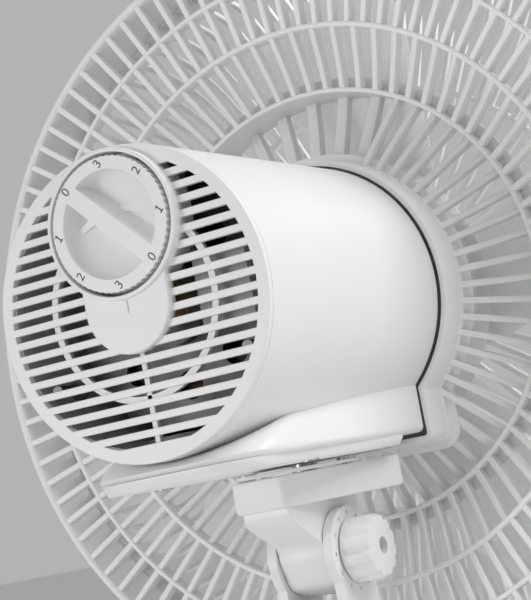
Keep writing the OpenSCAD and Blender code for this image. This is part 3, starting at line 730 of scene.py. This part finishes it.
def build_rear_guard():
    guard = Shape()
    section = rounded([
        (0, COLLAR_BACK, 0.25), (COLLAR_LAND, COLLAR_BACK, 0.45), (COLLAR_LAND + 0.7, 140.8, 0.3),
        (COLLAR_LAND + 1.2, 141.4, 0.3), (COLLAR_LAND + 1.2, 144.4, 0.2), (COLLAR_FLANGE, 144.4, 0.4),
        (COLLAR_FLANGE, COLLAR_END, 0.4), (0, COLLAR_END, 0),
    ], 3)
    columns = [[at(x, y, z) for x, z in keyhole(grow)] for grow, y in section]
    guard.loft(columns, closed=True)
    # wall across the collar, with the hole that the nozzle passes through
    outlines = [keyhole(0.4), circle(NOZZLE_R, 48)]
    guard.add(*flat_plate(outlines, COLLAR_END - 5, COLLAR_END - 0.3, 0.3, facing_back))
    # rings
    guard.lathe(rounded([(STEP_R - 2, STEP_BACK, 0.9), (STEP_R, STEP_BACK, 0.9), (STEP_R, STEP_FRONT, 0.6),
                         (STEP_R - 2, STEP_FRONT, 0.6)], 3), 180)
    guard.lathe(rounded([(STEP_R - 0.5, 153, 0.3), (93.0, 153, 0.4), (93.0, 155, 0.4),
                         (STEP_R - 0.5, 155, 0.3)], 2), 150)
    guard.lathe(rounded([(MIDDLE_R - 2.2, MIDDLE_BACK, 0.9), (MIDDLE_R, MIDDLE_BACK, 0.9),
                         (MIDDLE_R, MIDDLE_BACK + 7, 0.6), (MIDDLE_R - 2.2, MIDDLE_BACK + 7, 0.6)], 3), 200)
    guard.lathe(rounded([(RING2_R - 2, RING2_BACK, 0.9), (RING2_R, RING2_BACK, 0.9),
                         (RING2_R, RING2_BACK + 6.5, 0.6), (RING2_R - 2, RING2_BACK + 6.5, 0.6)], 3), 200)
    guard.lathe(rounded([
        (GUARD_R - 4.2, RIM_BACK + 1.5, 1.2), (GUARD_R - 2.6, RIM_BACK, 1.4), (GUARD_R, RIM_BACK + 2.4, 1.8),
        (GUARD_R, RIM_FRONT, 0.4), (GUARD_R - 2.4, RIM_FRONT, 0.4), (GUARD_R - 2.4, RIM_BACK + 8, 1.0),
        (GUARD_R - 4.2, RIM_BACK + 6, 0.8),
    ], 3), 240)
    # ribs
    for i in range(INNER_RIBS):
        turn = TAU * (i + 0.5) / INNER_RIBS + RIB_TURN
        if GRIP_END < math.degrees(turn) < 360 + GRIP_START:
            guard.rib(turn, [(57.6, 140.0), (66, 144.2), (77, 149.7), (87.4, 154.8)],
                      [(57.6, 145.6), (66, 149.8), (77, 155.4), (87.4, 160.9)])
    # broad bars set deep in the step ring at the top, over the collar's flange
    for i in range(GRIP_BARS):
        turn = math.radians(GRIP_FIRST + GRIP_STEP * i)
        guard.rib(turn, [(60.0, 156.5), (74, 160.6), (87.4, 163.6)],
                  [(60.0, 162.4), (74, 166.2), (87.4, 168.6)], GRIP_T, 0.9)
    # inner tube that carries the bars
    guard.lathe(rounded([(59.2, 144.6, 0.2), (61.0, 144.6, 0.2), (61.0, 162.8, 0.5),
                         (59.2, 162.8, 0.5)], 3), 150)
    for i in range(MIDDLE_RIBS):
        turn = TAU * i / MIDDLE_RIBS
        back = curve_through([(87.4, 147.6), (95, 144.6), (104, 140.2), (112, 136.0)], 2)
        guard.rib(turn, back, [(r, y + RIB_DEPTH) for r, y in back])
    for i in range(OUTER_RIBS):
        turn = TAU * i / OUTER_RIBS
        back = curve_through([(112, 135.8), (123, 133.6), (133.5, 132.0), (143, 130.4), (152.4, 129.2)], 2)
        guard.rib(turn, back, [(r, y + RIB_DEPTH) for r, y in back])
    return guard.out("rear_guard_cage", GUARD_WHITE, "head", stands_for=("rear_guard",), crease=42)


# ---- front guard ----

def build_front_guard():
    guard = Shape()
    side = curve_through([(153.9, 159), (153.2, 170), (151.6, 182), (146.5, 193.5), (134, 202.2),
                          (116, 206.4), (95, 208.6)], 3)
    middle = curve_through([(95, 208.6), (75, 210.6), (56, 212.2), (37, 213.1)], 3)
    # rim, middle ring and the ring round the badge
    guard.lathe(rounded([(152.7, 158.1, 0.3), (155.3, 158.1, 0.3), (155.3, 167.6, 0.8),
                         (152.7, 167.6, 0.8)], 3), 240)
    guard.lathe(rounded([(93.8, 205.4, 0.6), (96.0, 205.4, 0.6), (96.0, 210.0, 0.9),
                         (93.8, 210.0, 0.9)], 3), 160)
    guard.lathe(rounded([(34.4, 209.2, 0.3), (38, 209.2, 0.3), (38, 213.4, 0.3), (34.4, 213.4, 0.3)], 2), 120)
    for i in range(OUTER_RIBS):
        turn = TAU * i / OUTER_RIBS
        inner = [(r - 3.4 * ramp(r, 132, 153), y - FRONT_RIB_DEPTH * (1 - ramp(r, 146, 153)))
                 for r, y in side]
        guard.rib(turn, side, inner, FRONT_RIB_T)
        if i % 2 == 0:
            guard.rib(turn, middle, [(r, y - FRONT_RIB_DEPTH) for r, y in middle], FRONT_RIB_T)
        # root block where the rib stands on the rim
        guard.rib(turn, [(154.0, 158.4), (154.0, 166.0)], [(146.6, 158.4), (149.8, 166.0)], 4.6)
    return guard.out("front_guard_cage", GUARD_WHITE, "head", stands_for=("front_guard",), crease=42)


def build_badge():
    badge = Shape()
    line = [(0, 209.0), (33.6, 209.0), (33.8, 213.4), (37.4, 213.7)]
    line += curve_through([(37.8, 214.2), (37.0, 215.1), (34.5, 215.7), (31.5, 215.4), (29.5, 214.7),
                           (20, 215.3), (8, 215.9)], 4)
    line.append((0, 216.0))
    badge.dome(line, 120)
    return badge.out("front_guard_badge", GUARD_WHITE, "head", stands_for=("front_badge",), crease=40)


def build_guard_nut():
    nut = Shape()
    grips = 12
    section = rounded([(17.1, COLLAR_END, 0.3), (27, COLLAR_END, 0.6), (27, COLLAR_END + 7, 1.2),
                       (17.1, COLLAR_END + 7, 0.8)], 3)
    steps = 144
    rings = []
    for i in range(steps):
        turn = TAU * i / steps
        grip = 0.5 + 0.5 * math.cos(grips * turn)
        rings.append([polar(r - (1.6 * grip ** 3 if r > 22 else 0), turn, y) for r, y in section])
    nut.loft(rings, closed=True)
    return nut.out("guard_lock_nut", GUARD_WHITE, "head", stands_for=("guard_nut",))


def build_guard_clips():
    clips = Shape()
    for i in range(4):
        turn = TAU * (i + 0.5) / 4
        along = Vector((math.cos(turn), 0, -math.sin(turn)))
        outline = rounded([(-7, 151.2, 2.5), (7, 151.2, 2.5), (7, 166.8, 2.5), (-7, 166.8, 2.5)], 4)
        rings = []
        for radius, shrink in ((155.6, 1.0), (156.9, 1.0), (157.4, 0.9)):
            rings.append([polar(radius, turn, mix(159, y, shrink)) + along * (s * shrink * MM)
                          for s, y in outline])
        clips.loft(rings)
    return clips.out("guard_clip_set", GUARD_WHITE, "head", stands_for=("guard_clips",))


# ---- blade ----

# a wing's two edges: radius in mm and clock angle in degrees from the wing's own zero
WING_LEAD = [(30, 58), (48, 53.5), (56, 47.3), (64, 41.5), (72, 36.6), (84, 30.3), (98, 25.0), (118, 20.0),
             (137, 15.0)]
WING_TRAIL = [(30, -8.5), (48, -8.8), (64, -8.0), (79, -11.6), (94, -16.5), (106, -20.9), (120, -24.5),
              (137, -22)]


def along_line(x, points):
    """The height of a line through the points at x."""
    for (xa, ya), (xb, yb) in zip(points, points[1:]):
        if x <= xb:
            return mix(ya, yb, max(x - xa, 0) / (xb - xa))
    return points[-1][1]


def build_blade():
    blade = Shape()
    blade.lathe(rounded([
        (9.5, HUB_FRONT - 2.4, 0.5), (HUB_R - 5, HUB_FRONT - 2.4, 1.5), (HUB_R - 2.4, HUB_FRONT - 6, 1.5),
        (HUB_R - 2.4, HUB_BACK, 0.3), (HUB_R, HUB_BACK, 0.4), (HUB_R, HUB_FRONT - 4, 4),
        (HUB_R - 5, HUB_FRONT, 3), (4.1, HUB_FRONT, 0.4), (4.1, HUB_BACK, 0.3), (9.5, HUB_BACK, 0.4),
    ], 5), 120)
    stations, chords = 22, 16
    for wing in range(WINGS):
        base = TAU * wing / WINGS
        rings = []
        for i in range(stations + 1):
            t = i / stations
            radius = HUB_R - 0.8 + (WING_TIP_R - HUB_R + 0.8) * (1 - (1 - t) ** 1.15)
            trail = along_line(radius, WING_TRAIL)
            lead = along_line(radius, WING_LEAD)
            squeeze = 1 - 0.55 * ramp(t, 0.9, 1.0) ** 2
            middle = (trail + lead) / 2
            pitch = mix(0.50, 0.30, t)
            upper, lower = [], []
            for k in range(chords + 1):
                u = k / chords
                angle = middle + (mix(trail, lead, u) - middle) * squeeze
                turn = base + math.radians(angle)
                along = radius * math.radians(angle - 10)
                camber = 3.0 * math.sin(math.pi * u) * (1 - 0.4 * t)
                y = WING_MID - along * pitch * 0.62 - camber
                thick = (1.15 - 0.45 * t) * math.sqrt(max(1 - (2 * u - 1) ** 4, 0.02))
                upper.append(polar(radius, turn, min(max(y - thick, HUB_BACK + 1.5), HUB_FRONT - 1)))
                lower.append(polar(radius, turn, min(max(y + thick, HUB_BACK + 2.5), HUB_FRONT)))
            rings.append(upper + lower[::-1])
        blade.loft(rings)
    return blade.out("fan_blade", BLADE_WHITE, "rotor", stands_for=("blade",), crease=50)


def build_spinner():
    spinner = Shape()
    line = rounded([(4.1, HUB_FRONT + 0.2, 0), (13, HUB_FRONT + 0.2, 0.4), (12.4, HUB_FRONT + 7, 4),
                    (9, HUB_FRONT + 10.8, 4), (4.1, HUB_FRONT + 11, 0.5)], 5)
    spinner.lathe(line, 72)
    return spinner.out("blade_spinner", BLADE_WHITE, "rotor", stands_for=("spinner",), finish="blade_plastic")


# ---- neck and gear ----

def build_neck():
    neck = Shape()
    rear, front, rear_half, front_half = 58.0, 118.0, 10.0, 30.0

    def tray(inset):
        return rounded([
            (-rear_half + inset, rear + inset, 1.6), (rear_half - inset, rear + inset, 1.6),
            (front_half - inset, front - inset, 2.5), (-front_half + inset, front - inset, 2.5),
        ], 4)

    outer, inner = tray(0), tray(2.2)
    levels = [(inner, TRAY_BOTTOM + 3), (inner, TRAY_TOP - 0.3), (tray(1.9), TRAY_TOP), (tray(0.4), TRAY_TOP),
              (outer, TRAY_TOP - 0.4), (outer, TRAY_BOTTOM + 1.2), (tray(0.4), TRAY_BOTTOM + 0.3),
              (tray(1.3), TRAY_BOTTOM)]
    neck.loft([[at(x, y, z) for x, y in shape] for shape, z in levels])
    # pin boss and anchor post inside the tray
    for cx, radius, top, bore in ((0, 9.0, TRAY_TOP - 0.4, 5.0), (ANCHOR_X, 3.4, LINK_BOTTOM - 0.4, 2.0)):
        rings = []
        for r, z in ((bore, TRAY_BOTTOM + 2), (radius, TRAY_BOTTOM + 2), (radius, top - 0.4),
                     (radius - 0.4, top), (bore, top)):
            rings.append([at(cx + x, SWING_Y + y, z) for x, y in circle(r, 48)])
        neck.loft(rings, closed=True)
    # stem and tilt knuckle, drawn from the side
    stem_half, knuckle, diagonal = 9.6, 15.0, 10.6
    side = rounded([
        (61, TRAY_BOTTOM + 1, 0), (115, TRAY_BOTTOM + 1, 0), (115, TRAY_BOTTOM - 4, 5), (110.8, -90, 4),
        (SWING_Y + knuckle, -TILT_DOWN, 7), (SWING_Y + diagonal, -TILT_DOWN - diagonal, 7),
        (SWING_Y, -TILT_DOWN - knuckle, 7), (SWING_Y - diagonal, -TILT_DOWN - diagonal, 7),
        (SWING_Y - knuckle, -TILT_DOWN, 7), (81.2, -90, 4),
        (61, TRAY_BOTTOM - 4, 5),
    ], 5)
    rings = []
    for x, shrink in ((-stem_half, 0.97), (-stem_half + 0.7, 1.0), (stem_half - 0.7, 1.0), (stem_half, 0.97)):
        rings.append([at(x, mix(SWING_Y - 8, y, shrink), mix(-88, z, shrink)) for y, z in side])
    neck.loft(rings)
    return neck.out("neck_arm_moulding", WHITE, "neck_arm", stands_for=("neck",), crease=40)


def build_crank():
    crank = Shape()
    rings = []
    for r, z in ((0.01, -48.9), (3, -48.9), (3, -58.6), (14.2, -58.6), (15, -59.2), (15, -60.3),
                 (14.4, -60.9), (0.01, -60.9)):
        rings.append([at(x, GEAR_Y + y, z) for x, y in circle(r, 64)])
    crank.loft(rings)
    px, py = CRANK_R * math.cos(CRANK_TURN), GEAR_Y + CRANK_R * math.sin(CRANK_TURN)
    rings = []
    for r, z in ((2.4, -60.4), (2.4, LINK_TOP + 0.6), (2.0, LINK_TOP + 0.4)):
        rings.append([at(px + x, py + y, z) for x, y in circle(r, 32)])
    crank.loft(rings)
    return crank.out("swing_crank", WHITE, "crank_disc", stands_for=("crank",), finish="inner_plastic")


def build_link():
    px, py = CRANK_R * math.cos(CRANK_TURN), GEAR_Y + CRANK_R * math.sin(CRANK_TURN)
    start, end = Vector((ANCHOR_X, SWING_Y)), Vector((px, py))
    axis = (end - start).normalized()
    across = Vector((-axis.y, axis.x))
    outline = []
    for middle, side in ((end, 1), (start, -1)):
        for k in range(17):
            a = math.pi * k / 16
            p = middle + (axis * math.sin(a) + across * math.cos(a)) * (LINK_HALF * side)
            outline.append((p.x, p.y))
    holes = [circle(2.6, 32, px, py), circle(2.06, 32, ANCHOR_X, SWING_Y)]
    link = Shape()
    link.add(*flat_plate([outline] + holes, LINK_BOTTOM, LINK_TOP, 0.2, at))
    return link.out("swing_link_bar", WHITE, "swing_link", stands_for=("link",), crease=30)


# ---- stand ----

def build_base():
    base = Shape()
    top = curve_through([(107.6, 16.0), (104.5, 20.5), (97, 25.0), (84, 29.6), (70, 33.6), (56, 37.2),
                         (44, 40.6), (34, 44.4), (27, 49.2), (22.5, 53.2), (19.6, 53.9)], 4)
    line = [(104.4, 4.1), (107.2, 4.1), (108, 5.0), (108, 13.5)] + top
    line += [(16.4, 53.9), (16.4, 51.0), (21.5, 50.9), (30, 43.0), (44, 38.0), (70, 31.0), (96, 21.4),
             (104.4, 15.0)]
    # the raised middle leans back to the column, which stands behind the base's centre
    low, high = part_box("column")
    column_y = (low[1] + high[1]) / 2 / MM
    line = [(r, column_y * (1 - ramp(r, 24, 66)), z) for r, z in line]
    steps = 160
    rings = []
    for i in range(steps):
        a = TAU * i / steps
        rings.append([standing(r * math.sin(a), shift + r * math.cos(a), z) for r, shift, z in line])
    base.loft(rings, closed=True)
    return base.out("base_shell", BASE_WHITE, "stand", stands_for=("base_cover",), finish="base_plastic",
                    crease=32)


def build_rocker():
    rocker = Shape()
    low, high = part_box("osc_rocker")
    half = (high[0] - low[0]) / 2
    cy, bottom = (low[1] + high[1]) / 2, low[2]
    outline = rounded([(-5.6, 0, 0), (5.6, 0, 0), (5.6, 7.3, 0.8), (0, 6.3, 4), (-5.6, 8.3, 0.8)], 4)
    rings = []
    for x, shrink in ((-half, 0.95), (-half + 0.5 * MM, 1.0), (half - 0.5 * MM, 1.0), (half, 0.95)):
        rings.append([Vector((x, cy + y * MM * shrink, bottom + z * MM * shrink)) for y, z in outline])
    rocker.loft(rings)
    return rocker.out("oscillation_rocker", GUARD_WHITE, "osc_switch", stands_for=("osc_rocker",),
                      finish="base_plastic")


def build_knob():
    knob = Shape()
    low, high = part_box("tilt_knob")
    cy, cz = (low[1] + high[1]) / 2, (low[2] + high[2]) / 2
    lobes, steps = 12, 144
    line = [(3.2, 0), (11.4, 0), (12, 0.6), (12, 2.0), (12, 9.5), (11.2, 11.4), (9.6, 12), (3.2, 12)]
    rings = []
    for i in range(steps):
        a = TAU * i / steps
        lobe = (0.5 + 0.5 * math.cos(lobes * a)) ** 2
        ring = []
        for r, x in line:
            reach = (r - 1.1 * lobe if r > 9 and x > 1.5 else r) * MM
            ring.append(Vector((low[0] + x * MM, cy + reach * math.sin(a), cz + reach * math.cos(a))))
        rings.append(ring)
    knob.loft(rings, closed=True)
    return knob.out("tilt_clamp_knob", BASE_WHITE, "tilt_clamp", stands_for=("tilt_knob",),
                    finish="base_plastic", crease=45)


build_vent()
build_dial()
build_numbers()
build_housing()
build_plate()
build_rear_guard()
build_front_guard()
build_badge()
build_guard_nut()
build_guard_clips()
build_blade()
build_spinner()
build_neck()
build_crank()
build_link()
build_base()
build_rocker()
build_knob()


# ---- floor, light and camera ----

def floor():
    steps = 96
    radius = 9.0
    mesh = bpy.data.meshes.new("floor")
    mesh.from_pydata([(radius * math.sin(TAU * i / steps), radius * math.cos(TAU * i / steps), 0)
                      for i in range(steps)], [], [tuple(range(steps))[::-1]])
    material, tree, shader = new_material("studio_floor")
    colour_between(tree, shader, noise(tree, 1.5, 2), (0.78, 0.78, 0.78), (0.80, 0.80, 0.80))
    shader.inputs["Roughness"].default_value = 0.9
    mesh.materials.append(material)
    obj = bpy.data.objects.new("floor", mesh)
    bpy.context.scene.collection.objects.link(obj)


def area_light(name, place, target, size, power):
    light = bpy.data.lights.new(name, "AREA")
    light.size = size
    light.energy = power
    obj = bpy.data.objects.new(name, light)
    obj.location = place
    obj.rotation_euler = (Vector(target) - Vector(place)).to_track_quat("-Z", "Y").to_euler()
    bpy.context.scene.collection.objects.link(obj)


def world(level):
    sky = bpy.data.worlds.new("studio")
    sky.use_nodes = True
    background = sky.node_tree.nodes["Background"]
    background.inputs["Color"].default_value = (level, level, level, 1)
    background.inputs["Strength"].default_value = 1.0
    bpy.context.scene.world = sky


def camera(place, yaw, pitch, roll, focal):
    """A camera at a place in metres, turned by angles in degrees, on a 36 mm sensor."""
    lens = bpy.data.cameras.new("camera")
    lens.lens = focal
    lens.sensor_width = 36
    lens.sensor_fit = "AUTO"
    obj = bpy.data.objects.new("camera", lens)
    turn = Matrix.Rotation(math.radians(yaw), 4, "Z")
    turn = turn @ Matrix.Rotation(math.pi / 2 + math.radians(pitch), 4, "X")
    turn = turn @ Matrix.Rotation(math.radians(roll), 4, "Z")
    obj.matrix_world = Matrix.Translation(place) @ turn
    bpy.context.scene.collection.objects.link(obj)
    bpy.context.scene.camera = obj


floor()
world(0.45)
head_middle = (0, FACE + 0.1, AXIS)
area_light("right_key", (1.25, 0.15, 1.35), head_middle, 1.0, 18)
area_light("rear_fill", (-0.75, -1.4, 0.24), head_middle, 0.6, 6)
area_light("front_glow", (0.35, 1.7, 0.75), head_middle, 1.0, 7)
camera((0.2959, -0.5529, 0.2211), yaw=28.82, pitch=6.59, roll=-10.925, focal=98.94)
bpy.context.scene.view_settings.view_transform = "Standard"
